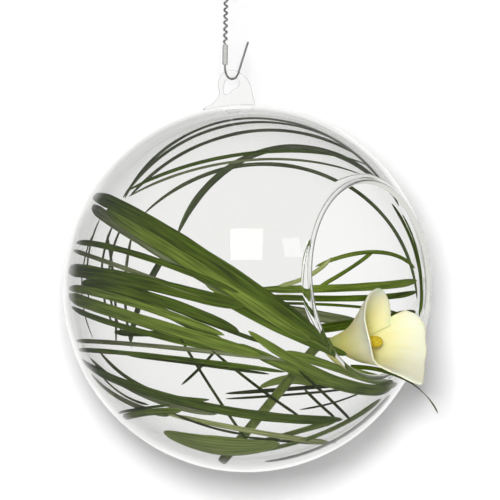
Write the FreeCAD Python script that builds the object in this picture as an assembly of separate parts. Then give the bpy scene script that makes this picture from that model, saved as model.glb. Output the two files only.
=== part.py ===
import FreeCAD, Part
import math
import os

from FreeCAD import Vector

# A hanging vase: a blown glass globe with a round mouth in its side and a glass loop on top,
# on a steel wire hanger, with curled grass, two leaves and one calla lily resting in it.
# Millimetres. +Z is up, the front is -Y. The origin is the centre of the hanger's eye.

# Blown glass globe
GLOBE_DIAMETER = 200.0
GLASS_WALL = 2.0
MOUTH_DIAMETER = 106.0
MOUTH_TURN = 38.0  # degrees from the right towards the front
MOUTH_RISE = 3.5  # degrees above level
RIM_BEAD = 3.0

# Glass loop, drawn out of the globe's top and pressed back on it
LOOP_HEIGHT = 18.6  # above the globe's top
LOOP_WIDTH = 27.5  # between its feet
LOOP_HOLE_TOP = 14.8
LOOP_HOLE_BOTTOM = 5.4
LOOP_HOLE_WIDTH = 8.1
LOOP_DEPTH = 3.2
LOOP_ROUNDING = 1.2
LOOP_OFFSET = -8.0  # its middle, right of the globe's centre

# Steel wire hanger
WIRE_DIAMETER = 1.1
EYE_INSIDE = 7.0
EYE_OPENING = 35.0  # degrees of the eye left open beside the shank
SHANK_HEIGHT = 47.55  # the eye's centre above the hook bend's centre
HOOK_RADIUS = 6.2
HOOK_TURN = 52.0  # degrees that the hook's plane is turned from the right towards the back
HOOK_FLARE = 27.0  # degrees that the free arm leans outwards
HOOK_ARM = 19.0
HOOK_OFFSET = 3.2  # the bottom of the hook's bend, right of the eye
COIL_RADIUS = 0.9
COIL_PITCH = 3.5
COIL_TURNS = 8
COIL_GAP_TO_EYE = 2.2
COIL_LEAD = 1.6  # wire that leads into the corkscrew
SHANK_LEAD = 1.6  # wire that leads out of the hook's bend
SLEEVE_WIDTH = 3.0
SLEEVE_DEPTH = 2.1
SLEEVE_CLEARANCE = 0.06
SLEEVE_END_GAP = 0.1
HANG_GAP = 0.45  # between the hook and the glass that hangs on it

# Grass, each blade on its own curl against the glass or on the blades before it
GRASS_THICKNESS = 0.3
GRASS_GAP = 0.3
GRASS_TIP = 14.0
TIP_WIDTH = 0.3
LEAF_TIP = 1.2  # length of a leaf's point as share of its width
PANEL_WIDTH = 8.0  # a broader blade is bent in panels across
EDGE_SHARE = 0.985  # how near to the globe's outline a blade may run

# Calla lily
SPATHE_LENGTH = 46.0  # level, from the stem to the middle of the lip
SPATHE_REACH = 28.5  # radius of its flared lip
SPATHE_WALL = 1.0
SPATHE_FLOOR = 3.0  # where the hollow of the funnel begins
SPADIX_LENGTH = 30.5
SPADIX_RADIUS = 3.2
SPADIX_FOOT_RADIUS = 1.5
STEM_RADIUS = 2.6
STEM_BEND = 16.0  # radius of its bend behind the flower
STEM_WALL_GAP = 2.2  # from the middle of the stem's cut end to the glass
STEM_FOOT = (-0.14, 0.06, -0.988)  # direction of its cut end from the globe's centre
FLOWER_TURN = 36.0  # degrees from the right towards the front
FLOWER_REST = 4.7  # height of the funnel over the blade under it
FLOWER_BACK = 31.0  # from where the blade lies on the rim back to the stem's top
FLOWER_LEFT = 9.5

# One blade leaves through the mouth and hangs over the rim
TAIL_WIDTH = 3.5
TAIL_TIP = 40.0
TAIL_GAP = 0.35  # over the rim
TAIL_PLACE = 12.0  # degrees round the mouth from its lowest point
TAIL_TURN = -18.9  # its direction over the rim, degrees from the right towards the front
TAIL_RISE = -17.0
TAIL_CURL = 52.0
TAIL_INSIDE = 21.0
TAIL_OUTSIDE = 41.0

# Worked out from the sizes above
OUTER_RADIUS = GLOBE_DIAMETER / 2
INNER_RADIUS = OUTER_RADIUS - GLASS_WALL
WIRE_RADIUS = WIRE_DIAMETER / 2
HOOK_CENTRE = Vector(HOOK_OFFSET, 0, -SHANK_HEIGHT)
HOLE_TOP_Z = HOOK_CENTRE.z - HOOK_RADIUS + WIRE_RADIUS + HANG_GAP
GLOBE_CENTRE = Vector(HOOK_OFFSET - LOOP_OFFSET, 0, HOLE_TOP_Z - LOOP_HOLE_TOP - OUTER_RADIUS)

# The mouth's lowest point, in hundredths of the inner radius over the globe's centre
MOUTH_HALF_ANGLE = math.asin(MOUTH_DIAMETER / 2 / (INNER_RADIUS + RIM_BEAD / 2))
MOUTH_LOW = (
    math.sin(math.radians(MOUTH_RISE)) * math.cos(MOUTH_HALF_ANGLE)
    - math.cos(math.radians(MOUTH_RISE)) * math.sin(MOUTH_HALF_ANGLE)
) * (100 * (INNER_RADIUS + RIM_BEAD / 2) / INNER_RADIUS)

# Grass blades: name, width, and three points of the middle line. A point is right and up of the
# globe's centre in hundredths of its inner radius, on the front or the back wall.
FRONT = -1
BACK = 1
GRASS = [
    ("grass_top_1", 1.6, (-69, 51, BACK), (2, 95, BACK), (85, 46, BACK)),
    ("grass_top_2", 1.6, (-67, 51, FRONT), (-1, 92, FRONT), (57, 77, FRONT)),
    ("grass_top_3", 1.6, (-66, 52, BACK), (2, 88, BACK), (60, 76, BACK)),
    ("grass_top_4", 2.7, (-65, 53, FRONT), (-9, 72, FRONT), (66, 67, FRONT)),
    ("grass_top_5", 2.2, (-58, 42, BACK), (30, 68, BACK), (95, -6, BACK)),
    ("grass_top_6", 3.5, (-39, 31, BACK), (8, 77, BACK), (82, 51, BACK)),
    ("grass_left_1", 1.4, (-83, 39, BACK), (-90, 15, BACK), (-88, -12, BACK)),
    ("grass_left_2", 1.6, (-75, 37, BACK), (-82, 7, BACK), (-75, -22, BACK)),
    ("grass_left_3", 2.2, (-65, 30, BACK), (-69, -1, BACK), (-65, -34, BACK)),
    ("grass_left_4", 3.3, (-44, 22, BACK), (-56, 2, BACK), (-66, -32, BACK)),
    ("grass_left_5", 1.6, (-79, 30, BACK), (-75, 0, BACK), (-74, -32, BACK)),
    ("grass_main_1", 7.5, (-85, 51, FRONT), (-31, 23, FRONT), (47, -31, FRONT)),
    ("grass_main_2", 7.2, (-76, 43, FRONT), (-26, 11, FRONT), (35, -28, FRONT)),
    ("grass_main_3", 4.9, (-18, -2, FRONT), (30, -27, FRONT), (55, -36, FRONT)),
    ("grass_grey", 6.0, (-86, 46, FRONT), (-48, 21, FRONT), (-1, -6, FRONT)),
    ("grass_belt_1", 3.3, (-93, 25, FRONT), (-48, 15, FRONT), (-4, -2, FRONT)),
    ("grass_belt_2", 7.2, (-98, 10, FRONT), (-54, 3, FRONT), (-1, -10, FRONT)),
    ("grass_belt_3", 6.0, (-90, 3, FRONT), (-54, -4, FRONT), (-4, -23, FRONT)),
    ("grass_belt_4", 4.4, (-97, 0, FRONT), (-54, -10, FRONT), (-12, -25, FRONT)),
    ("grass_belt_5", 6.7, (-98, -4, FRONT), (-54, -18, FRONT), (8, -36, FRONT)),
    ("grass_belt_6", 4.4, (-88, 8, FRONT), (-50, -10, FRONT), (-8, -31, FRONT)),
    ("grass_low_1", 3.5, (-75, -25, BACK), (-54, -26, BACK), (-29, -25, BACK)),
    ("grass_low_2", 2.7, (-93, -34, FRONT), (-54, -36, FRONT), (21, -45, FRONT)),
    ("grass_low_3", 2.2, (-68, -38, BACK), (-31, -43, BACK), (13, -49, BACK)),
    ("grass_low_4", 6.2, (-91, -39, FRONT), (-26, -63, FRONT), (52, -71, FRONT)),
    ("grass_low_5", 2.7, (-80, -34, FRONT), (-62, -50, FRONT), (-20, -60, FRONT)),
    ("grass_cross_1", 1.6, (-38, -23, FRONT), (-19, -54, FRONT), (6, -90, FRONT)),
    ("grass_cross_2", 1.6, (-37, -55, BACK), (-26, -45, BACK), (-14, -31, BACK)),
    ("grass_cross_3", 1.6, (-19, -33, FRONT), (2, -50, FRONT), (30, -70, FRONT)),
    ("grass_cross_4", 1.6, (28, -44, FRONT), (40, -55, FRONT), (57, -72, FRONT)),
    ("grass_cross_5", 1.6, (31, -54, FRONT), (40, -63, FRONT), (48, -70, FRONT)),
    ("grass_sweep_1", 1.6, (-12, -63, BACK), (32, -60, BACK), (70, -55, BACK)),
    ("grass_sweep_2", 1.4, (30, -69, BACK), (52, -64, BACK), (71, -56, BACK)),
    ("grass_sweep_3", 2.7, (-12, -60, BACK), (30, -57, BACK), (74, -53, BACK)),
    (
        "grass_bundle_1",
        4.9,
        (1, MOUTH_LOW + 26, FRONT),
        (35, MOUTH_LOW + 5, FRONT),
        (82, MOUTH_LOW - 3, FRONT),
    ),
    (
        "grass_bundle_2",
        5.4,
        (-4, MOUTH_LOW + 19, FRONT),
        (30, MOUTH_LOW + 3, FRONT),
        (80, MOUTH_LOW - 6, FRONT),
    ),
    (
        "grass_bundle_3",
        4.9,
        (21, MOUTH_LOW + 15, FRONT),
        (49, MOUTH_LOW + 6, FRONT),
        (80, MOUTH_LOW - 3, FRONT),
    ),
    ("grass_bottom_1", 2.2, (-4, -80, FRONT), (24, -83, FRONT), (49, -84, FRONT)),
    ("grass_bottom_2", 1.6, (-41, -67, FRONT), (-23, -74, FRONT), (-1, -79, FRONT)),
    ("grass_bottom_3", 3.3, (10, -94, FRONT), (43, -85, FRONT), (78, -58, FRONT)),
    ("grass_bottom_4", 1.6, (-70, -68, FRONT), (-57, -65, FRONT), (-41, -63, FRONT)),
    ("grass_bottom_5", 1.6, (-80, -46, FRONT), (-68, -57, FRONT), (-53, -63, FRONT)),
    ("grass_right_1", 2.7, (81, 47, BACK), (94, 20, BACK), (97, -13, BACK)),
    ("grass_right_2", 1.6, (87, 41, BACK), (97, 15, BACK), (96, -16, BACK)),
    ("grass_right_3", 2.2, (39, 12, BACK), (67, 20, BACK), (94, 11, BACK)),
    ("grass_right_4", 2.2, (40, 0, BACK), (57, 10, BACK), (72, 21, BACK)),
    ("grass_right_5", 4.4, (5, -1, BACK), (57, 0, BACK), (95, 4, BACK)),
    ("grass_right_6", 3.3, (8, -5, BACK), (60, -6, BACK), (95, -2, BACK)),
    ("grass_right_7", 1.6, (12, -9, BACK), (53, -10, BACK), (85, -14, BACK)),
]

# Leaves, in the same form as the grass
LEAVES = [
    ("broad_leaf", 21.0, (-45, -78, FRONT), (-8, -86, FRONT), (18, -84, FRONT)),
    ("small_leaf", 6.5, (7, -57, BACK), (24, -52, BACK), (42, -58, BACK)),
]

# The calla's funnel: share of its length, then its middle's height and its radius as shares of the
# lip's radius, then how steeply it looks up there, in degrees
FUNNEL = [
    (0.0, 0.0, 0.0915, -4.0),
    (0.248, -0.004, 0.27, 0.0),
    (0.423, 0.038, 0.419, 5.0),
    (0.584, 0.124, 0.562, 10.0),
    (0.774, 0.19, 0.743, 16.0),
    (1.0, 0.133, 1.0, 20.0),
]
# Its lip seen along the end of the funnel: right and up of the middle as shares of its radius
LIP = [
    (-0.21, 0.96),
    (0.17, 0.92),
    (0.41, 0.77),
    (0.53, 0.59),
    (0.6, 0.42),
    (0.72, 0.49),
    (0.83, 0.46),
    (0.93, 0.3),
    (0.96, 0.1),
    (0.92, -0.08),
    (0.88, -0.25),
    (0.7, -0.52),
    (0.27, -0.95),
    (0.1, -0.86),
    (-0.04, -0.68),
    (-0.26, -0.57),
    (-0.4, -0.44),
    (-0.56, -0.35),
    (-0.76, -0.24),
    (-0.9, -0.09),
    (-0.88, 0.1),
    (-0.8, 0.34),
    (-0.62, 0.65),
    (-0.42, 0.85),
]


def save(shape, name):
    """Writes one node's STEP file."""
    os.makedirs("parts", exist_ok=True)
    shape.exportStep("parts/" + name + ".step")
    return shape


def direction(turn, rise):
    """A unit vector, turned from the right towards the front and raised, in degrees."""
    flat = math.cos(math.radians(rise))
    return Vector(
        flat * math.cos(math.radians(turn)),
        -flat * math.sin(math.radians(turn)),
        math.sin(math.radians(rise)),
    )


def placed(shape, origin, axis):
    """A shape made along +Z, moved to stand on origin along axis."""
    shape.Placement = FreeCAD.Placement(origin, FreeCAD.Rotation(Vector(0, 0, 1), axis))
    return shape


def face_of(edges):
    return Part.Face(Part.Wire(edges))


# Glass
def globe_shell():
    """The wall between two spheres, open at the mouth, with a round bead on its rim."""
    bead_radius = RIM_BEAD / 2
    bead_ring = INNER_RADIUS + bead_radius
    half_angle = math.asin(MOUTH_DIAMETER / 2 / bead_ring)

    def on_sphere(radius, angle):
        return Vector(radius * math.sin(angle), 0, radius * math.cos(angle))

    def leaves_bead(radius):
        """Angle at which a sphere comes out of the bead."""
        along = (radius**2 + bead_ring**2 - bead_radius**2) / (2 * radius * bead_ring)
        return half_angle + math.acos(along)

    bead_centre = on_sphere(bead_ring, half_angle)
    towards_mouth = Vector(-math.cos(half_angle), 0, math.sin(half_angle))
    outer_rim = on_sphere(OUTER_RADIUS, leaves_bead(OUTER_RADIUS))
    inner_rim = on_sphere(INNER_RADIUS, leaves_bead(INNER_RADIUS))
    low_angle = (half_angle + math.pi) / 2
    outer_pole = on_sphere(OUTER_RADIUS, math.pi)
    inner_pole = on_sphere(INNER_RADIUS, math.pi)
    section = face_of(
        [
            Part.Arc(outer_pole, on_sphere(OUTER_RADIUS, low_angle), outer_rim).toShape(),
            Part.Arc(outer_rim, bead_centre + towards_mouth * bead_radius, inner_rim).toShape(),
            Part.Arc(inner_rim, on_sphere(INNER_RADIUS, low_angle), inner_pole).toShape(),
            Part.LineSegment(inner_pole, outer_pole).toShape(),
        ]
    )
    shell = section.revolve(Vector(0, 0, 0), Vector(0, 0, 1), 360)
    return placed(shell, GLOBE_CENTRE, direction(MOUTH_TURN, MOUTH_RISE))


def glass_loop():
    """A bent glass rod, thin at its left and thick at its right, with a teardrop hole."""
    top = LOOP_HEIGHT
    hole = LOOP_HOLE_TOP
    tip = LOOP_HOLE_BOTTOM
    in_wall = OUTER_RADIUS - GLASS_WALL / 2

    def foot(x):
        """A point in the middle of the globe's wall."""
        return x, math.sqrt(in_wall**2 - (x + LOOP_OFFSET) ** 2) - OUTER_RADIUS

    width = LOOP_WIDTH
    outline = [
        foot(-0.575 * width),
        (-0.375 * width, 0.05 * top),
        (-0.255 * width, 0.3 * top),
        (-0.276 * width, 0.58 * top),
        (-0.193 * width, 0.89 * top),
        (0.0, top),
        (0.215 * width, 0.87 * top),
        (0.356 * width, 0.6 * top),
        (0.407 * width, 0.28 * top),
        foot(0.425 * width),
    ]
    wide = LOOP_HOLE_WIDTH
    high = hole - tip
    teardrop = [
        (0.0, hole),
        (-0.383 * wide, hole - 0.138 * high),
        (-0.543 * wide, hole - 0.532 * high),
        (-0.444 * wide, tip),
        (0.012 * wide, tip + 0.245 * high),
        (0.432 * wide, hole - 0.521 * high),
        (0.457 * wide, hole - 0.223 * high),
        (0.296 * wide, hole - 0.053 * high),
    ]
    loop_base = GLOBE_CENTRE + Vector(LOOP_OFFSET, -LOOP_DEPTH / 2, OUTER_RADIUS)

    def curve(points, closed):
        spline = Part.BSplineCurve()
        spline.interpolate([loop_base + Vector(x, 0, z) for x, z in points], PeriodicFlag=closed)
        return spline.toShape()

    outer = curve(outline, False)
    left, right = [vertex.Point for vertex in outer.Vertexes]
    x, z = foot(-0.073 * width)
    under = Part.Arc(left, loop_base + Vector(x, 0, z), right).toShape()
    plate = face_of([outer, under]).cut(face_of([curve(teardrop, True)]))
    loop = plate.extrude(Vector(0, LOOP_DEPTH, 0))
    solid = loop.Solids[0]
    rounded = [
        edge
        for edge in solid.Edges
        if edge.BoundBox.YLength < 0.01 and edge.BoundBox.ZMax > loop_base.z + 1
    ]
    return solid.makeFillet(LOOP_ROUNDING, rounded)


def glass_globe():
    globe = globe_shell().fuse(glass_loop())
    return save(globe.removeSplitter(), "glass_globe")


# Wire hanger
def arc_along(start, along, end):
    """The arc that leaves start along a direction and ends at end."""
    chord = end - start
    bend = chord - along * chord.dot(along)
    if bend.Length < 1e-6:
        return Part.LineSegment(start, end).toShape()
    inward = bend.normalize()
    radius = chord.Length**2 / (2 * chord.dot(inward))
    centre = start + inward * radius
    middle = centre + ((start + end) * 0.5 - centre).normalize() * radius
    return Part.Arc(start, middle, end).toShape()


def smooth_join(start, start_along, end, end_along):
    """Two arcs that lead smoothly from one point and direction to another."""
    gap = end - start
    lead = gap.dot(start_along + end_along)
    spread = 2 * (1 - start_along.dot(end_along))
    arm = gap.dot(gap) / (math.sqrt(lead**2 + spread * gap.dot(gap)) + lead)
    knee_a = start + start_along * arm
    knee_b = end - end_along * arm
    meeting = (knee_a + knee_b) * 0.5
    along = (knee_b - knee_a).normalize()
    return [arc_along(start, start_along, meeting), arc_along(meeting, along, end)]


def swept(edges, radius):
    """A round bar along edges that meet smoothly."""
    start = edges[0].valueAt(edges[0].FirstParameter)
    along = edges[0].tangentAt(edges[0].FirstParameter)
    ring = Part.Wire(Part.makeCircle(radius, start, along))
    return Part.Wire(edges).makePipeShell([ring], True, True)


def hanger_frame():
    """The hook's outward direction, the shank's foot, the line of the shank, the coil's foot."""
    out = Vector(math.cos(math.radians(HOOK_TURN)), math.sin(math.radians(HOOK_TURN)), 0)
    shank_foot = HOOK_CENTRE - out * HOOK_RADIUS
    coil_top = Vector(0, 0, -EYE_INSIDE / 2 - COIL_GAP_TO_EYE)
    axis = (coil_top - shank_foot).normalize()
    coil_foot = coil_top - axis * (COIL_PITCH * COIL_TURNS)
    return out, shank_foot, axis, coil_foot


def coil_edges(foot, axis):
    """The corkscrew as arcs that meet smoothly, six to a turn, after its start and direction."""
    side = axis.cross(Vector(0, 1, 0)).normalize()
    other = axis.cross(side)
    steps = 6
    corners = []
    for i in range(COIL_TURNS * steps + 1):
        angle = 2 * math.pi * i / steps
        around = side * math.cos(angle) + other * math.sin(angle)
        corners.append(foot + axis * (COIL_PITCH * i / steps) + around * COIL_RADIUS)
    middles = [(a + b) * 0.5 for a, b in zip(corners, corners[1:])]
    edges = []
    for before, corner, after in zip(middles, corners[1:], middles[1:]):
        edges.append(arc_along(before, (corner - before).normalize(), after))
    return middles[0], (corners[1] - corners[0]).normalize(), edges


def hanger_wire():
    """One wire: free arm, hook bend, shank, corkscrew and eye."""
    out, shank_foot, axis, coil_foot = hanger_frame()
    up = Vector(0, 0, 1)
    lean = math.radians(HOOK_FLARE)

    def on_bend(angle):
        return HOOK_CENTRE + (out * math.cos(angle) + up * math.sin(angle)) * HOOK_RADIUS

    arm_foot = on_bend(-lean)
    arm_tip = arm_foot + (out * math.sin(lean) + up * math.cos(lean)) * HOOK_ARM
    arm = Part.LineSegment(arm_tip, arm_foot).toShape()
    bend = Part.Arc(arm_foot, on_bend(-math.pi / 2), shank_foot).toShape()
    straight_foot = shank_foot + axis * SHANK_LEAD
    straight_top = coil_foot - axis * COIL_LEAD
    into_shank = smooth_join(shank_foot, up, straight_foot, axis)
    shank = Part.LineSegment(straight_foot, straight_top).toShape()
    coil_start, coil_along, coil = coil_edges(coil_foot, axis)
    into_coil = smooth_join(straight_top, axis, coil_start, coil_along)
    coil_end = coil[-1].valueAt(coil[-1].LastParameter)
    coil_end_along = coil[-1].tangentAt(coil[-1].LastParameter)
    eye_radius = EYE_INSIDE / 2 + WIRE_RADIUS
    opening = math.radians(EYE_OPENING)

    def on_eye(angle):
        return Vector(eye_radius * math.sin(angle), 0, -eye_radius * math.cos(angle))

    eye = Part.Arc(on_eye(opening), on_eye(math.pi), on_eye(2 * math.pi - opening)).toShape()
    eye_along = Vector(math.cos(opening), 0, math.sin(opening))
    into_eye = smooth_join(coil_end, coil_end_along, on_eye(opening), eye_along)
    path = [arm, bend] + into_shank + [shank] + into_coil + coil + into_eye + [eye]
    return save(swept(path, WIRE_RADIUS), "hanger_wire")


def crimp_sleeve():
    """A flattened tube round the shank, between the hook's bend and the corkscrew."""
    out, shank_foot, axis, coil_foot = hanger_frame()
    foot = shank_foot + axis * (SHANK_LEAD + SLEEVE_END_GAP)
    top = coil_foot - axis * (COIL_LEAD + SLEEVE_END_GAP)
    length = (top - foot).Length
    radius = SLEEVE_DEPTH / 2
    flat = SLEEVE_WIDTH / 2 - radius
    left = Part.Arc(
        Vector(-flat, radius, 0), Vector(-flat - radius, 0, 0), Vector(-flat, -radius, 0)
    ).toShape()
    right = Part.Arc(
        Vector(flat, -radius, 0), Vector(flat + radius, 0, 0), Vector(flat, radius, 0)
    ).toShape()
    front = Part.LineSegment(Vector(-flat, -radius, 0), Vector(flat, -radius, 0)).toShape()
    back = Part.LineSegment(Vector(flat, radius, 0), Vector(-flat, radius, 0)).toShape()
    tube = face_of([left, front, right, back]).extrude(Vector(0, 0, length))
    bore = Part.makeCylinder(WIRE_RADIUS + SLEEVE_CLEARANCE, length)
    return save(placed(tube.cut(bore), foot, axis), "crimp_sleeve")


# Grass and leaves, worked out from the globe's centre
def wall_point(right, up, side, radius):
    """A point on a sphere inside the globe."""
    flat = Vector(right, 0, up) * (INNER_RADIUS / 100)
    most = radius * EDGE_SHARE
    if flat.Length > most:
        flat = flat * (most / flat.Length)
    return flat + Vector(0, side * math.sqrt(radius**2 - flat.Length**2), 0)


def strip(path, width, centre):
    """A curled strip that faces a centre: its section turned about the axis of its middle line."""
    start = path.valueAt(path.FirstParameter)
    reach = (start - centre).Length
    through = (start - centre).normalize()
    across = path.tangentAt(path.FirstParameter).cross(through)
    panels = math.ceil(width / PANEL_WIDTH)
    places = [width * (i / panels - 0.5) for i in range(panels + 1)]

    def line(height):
        return [start + across * s + through * (height - s**2 / (2 * reach)) for s in places]

    corners = line(GRASS_THICKNESS / 2) + line(-GRASS_THICKNESS / 2)[::-1]
    section = Part.Face(Part.makePolygon(corners + corners[:1]))
    angle = math.degrees(path.LastParameter - path.FirstParameter)
    return section.revolve(path.Curve.Center, path.Curve.Axis, angle)


def pointed(solid, path, width, length, centre, at_end=True):
    """Cuts one end of a strip to a point."""
    last, inward = (path.LastParameter, -1) if at_end else (path.FirstParameter, 1)
    shoulder_at = last + inward * length / path.Curve.Radius
    tip = path.valueAt(last)
    shoulder = path.valueAt(shoulder_at)
    through = (tip - centre).normalize()
    across = path.tangentAt(last).cross(through)
    beyond = path.tangentAt(last) * -inward
    shoulder_across = path.tangentAt(shoulder_at).cross((shoulder - centre).normalize())
    depth = 3 + length**2 / path.Curve.Radius
    for side in (1, -1):
        high = tip + across * (side * TIP_WIDTH / 2)
        low = shoulder + shoulder_across * (side * width * 0.52)
        low = low - through * (low - tip).dot(through)
        outward = across * (side * 2 * width)
        corners = [high, low, low + outward, high + outward + beyond * width, high + beyond * width]
        flat = Part.Face(Part.makePolygon([c - through * depth for c in corners + corners[:1]]))
        solid = solid.cut(flat.extrude(through * (2 * depth)))
    return solid


def grass_and_leaves():
    """Each blade lies on the glass, or on the first layer where it crosses no blade before it."""
    middle = Vector(0, 0, 0)
    layers = []
    for name, width, *points in LEAVES + GRASS:
        depth = 0
        while True:
            if depth == len(layers):
                layers.append([])
            radius = INNER_RADIUS - GRASS_GAP - GRASS_THICKNESS / 2 - depth * (GRASS_THICKNESS + GRASS_GAP)
            path = Part.Arc(*[wall_point(*point, radius) for point in points]).toShape()
            spaces = [path.distToShape(other)[0] - (width + wide) / 2 for other, wide in layers[depth]]
            if min(spaces, default=GRASS_GAP) >= GRASS_GAP:
                break
            depth += 1
        layers[depth].append((path, width))
        blade = strip(path, width, middle)
        if (name, width, *points) in LEAVES:
            blade = pointed(blade, path, width, LEAF_TIP * width, middle)
            blade = pointed(blade, path, width, LEAF_TIP * width, middle, at_end=False)
        else:
            blade = pointed(blade, path, width, GRASS_TIP, middle)
        blade.translate(GLOBE_CENTRE)
        save(blade, name)
    return len(layers)


def tail_rest():
    """Where the tail lies on the rim from the globe's centre, its direction there and its outside."""
    bead_ring = INNER_RADIUS + RIM_BEAD / 2
    half_angle = math.asin(MOUTH_DIAMETER / 2 / bead_ring)
    axis = direction(MOUTH_TURN, MOUTH_RISE)
    right = Vector(-axis.y, axis.x, 0).normalize()
    up = axis.cross(right)
    place = math.radians(TAIL_PLACE)
    out = right * math.sin(place) - up * math.cos(place)
    round_rim = right * math.cos(place) + up * math.sin(place)
    along = direction(TAIL_TURN, TAIL_RISE)
    over = along.cross(round_rim).normalize()
    rim = axis * (bead_ring * math.cos(half_angle)) + out * (MOUTH_DIAMETER / 2)
    return rim + over * (RIM_BEAD / 2 + TAIL_GAP + GRASS_THICKNESS / 2), along, over


def grass_tail():
    """The blade that leaves through the mouth, over the rim."""
    rest, along, over = tail_rest()

    def curled(length):
        angle = length / TAIL_CURL
        drop = TAIL_CURL * (1 - math.cos(angle))
        return rest + along * (TAIL_CURL * math.sin(angle)) - over * drop

    path = Part.Arc(curled(-TAIL_INSIDE), rest, curled(TAIL_OUTSIDE)).toShape()
    blade = strip(path, TAIL_WIDTH, path.Curve.Center)
    blade = pointed(blade, path, TAIL_WIDTH, TAIL_TIP, path.Curve.Center)
    blade.translate(GLOBE_CENTRE)
    return save(blade, "grass_tail")


# Calla lily, worked out from its stem's top
def flower_base():
    """The stem's top from the globe's centre, so high that the funnel clears the tail."""
    share = min(FLOWER_BACK / SPATHE_LENGTH, 1)
    for low, high in zip(FUNNEL, FUNNEL[1:]):
        if low[0] <= share <= high[0]:
            part = (share - low[0]) / (high[0] - low[0])
            height, radius = [low[i] + (high[i] - low[i]) * part for i in (1, 2)]
    radius = radius * SPATHE_REACH
    under = math.sqrt(radius**2 - FLOWER_LEFT**2) - height * SPATHE_REACH
    level = direction(FLOWER_TURN, 0)
    right = Vector(-level.y, level.x, 0)
    back = level * -FLOWER_BACK - right * FLOWER_LEFT
    return tail_rest()[0] + back + Vector(0, 0, under + FLOWER_REST)


def funnel_loft(inset, start):
    """The funnel's form, or its hollow, as a loft of circles that look up more and more."""
    rings = []
    for share, height, radius, rise in FUNNEL:
        along = max(share * SPATHE_LENGTH, start)
        radius = radius * SPATHE_REACH - inset
        if share == 0:
            radius = STEM_RADIUS + (FUNNEL[1][2] * SPATHE_REACH - STEM_RADIUS) * (
                start / (FUNNEL[1][0] * SPATHE_LENGTH)
            ) - inset
        centre = direction(FLOWER_TURN, 0) * along + Vector(0, 0, height * SPATHE_REACH)
        rings.append(Part.Wire(Part.makeCircle(radius, centre, direction(FLOWER_TURN, rise))))
    return Part.makeLoft(rings, True, False)


def calla_spathe():
    """A horn, hollowed and trimmed to the outline of its lip."""
    share, height, radius, rise = FUNNEL[-1]
    normal = direction(FLOWER_TURN, rise)
    right = Vector(-normal.y, normal.x, 0).normalize()
    up = normal.cross(right)
    middle = direction(FLOWER_TURN, 0) * SPATHE_LENGTH + Vector(0, 0, height * SPATHE_REACH)
    funnel = funnel_loft(0, 0).cut(funnel_loft(SPATHE_WALL, SPATHE_FLOOR))
    outline = Part.BSplineCurve()
    far = middle + normal * SPATHE_WALL
    edge = [far + right * (x * SPATHE_REACH) + up * (z * SPATHE_REACH) for x, z in LIP]
    outline.interpolate(edge, PeriodicFlag=True)
    trim = face_of([outline.toShape()]).extrude(normal * -(SPATHE_LENGTH + SPATHE_REACH))
    spathe = funnel.common(trim)
    spathe.translate(GLOBE_CENTRE + flower_base())
    return save(spathe, "calla_spathe")


def calla_spadix():
    """A rod that swells from its foot, with a round tip, standing on the floor of the funnel."""
    tip = 0.9 * SPADIX_RADIUS
    top = SPADIX_LENGTH
    waist = 0.35 * top
    shoulder = Vector(math.sqrt(0.5) * tip, 0, top - tip + math.sqrt(0.5) * tip)
    foot = Vector(SPADIX_FOOT_RADIUS, 0, 0)
    section = face_of(
        [
            Part.LineSegment(Vector(0, 0, 0), foot).toShape(),
            Part.LineSegment(foot, Vector(SPADIX_RADIUS, 0, waist)).toShape(),
            Part.LineSegment(Vector(SPADIX_RADIUS, 0, waist), Vector(tip, 0, top - tip)).toShape(),
            Part.Arc(Vector(tip, 0, top - tip), shoulder, Vector(0, 0, top)).toShape(),
            Part.LineSegment(Vector(0, 0, top), Vector(0, 0, 0)).toShape(),
        ]
    )
    spadix = section.revolve(Vector(0, 0, 0), Vector(0, 0, 1), 360)
    along = direction(FLOWER_TURN, FUNNEL[0][3])
    foot_at = GLOBE_CENTRE + flower_base() + direction(FLOWER_TURN, 0) * SPATHE_FLOOR
    return save(placed(spadix, foot_at, along), "calla_spadix")


def calla_stem():
    """A round stem that bends down behind the flower and runs straight to the glass."""
    start = flower_base()
    along = direction(FLOWER_TURN, FUNNEL[0][3]) * -1
    foot = Vector(*STEM_FOOT).normalize() * (INNER_RADIUS - STEM_WALL_GAP)
    aside = foot - start - along * (foot - start).dot(along)
    aside.normalize()
    centre = start + aside * STEM_BEND
    ahead = (foot - centre).dot(along)
    beside = (foot - centre).dot(aside)
    reach = math.hypot(ahead, beside)
    angle = math.atan2(beside, ahead) + math.asin(STEM_BEND / reach)

    def on_bend(part):
        turn = angle * part
        return centre + along * (STEM_BEND * math.sin(turn)) - aside * (STEM_BEND * math.cos(turn))

    path = [
        Part.Arc(start, on_bend(0.5), on_bend(1)).toShape(),
        Part.LineSegment(on_bend(1), foot).toShape(),
    ]
    stem = swept(path, STEM_RADIUS)
    stem.translate(GLOBE_CENTRE)
    return save(stem, "calla_stem")


def build():
    glass_globe()
    hanger_wire()
    crimp_sleeve()
    grass_and_leaves()
    grass_tail()
    calla_spathe()
    calla_spadix()
    calla_stem()


build()
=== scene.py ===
import math
import random

import bmesh
import bpy
from bpy.props import FloatProperty, FloatVectorProperty, PointerProperty
from mathutils import Matrix, Vector, noise


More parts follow.
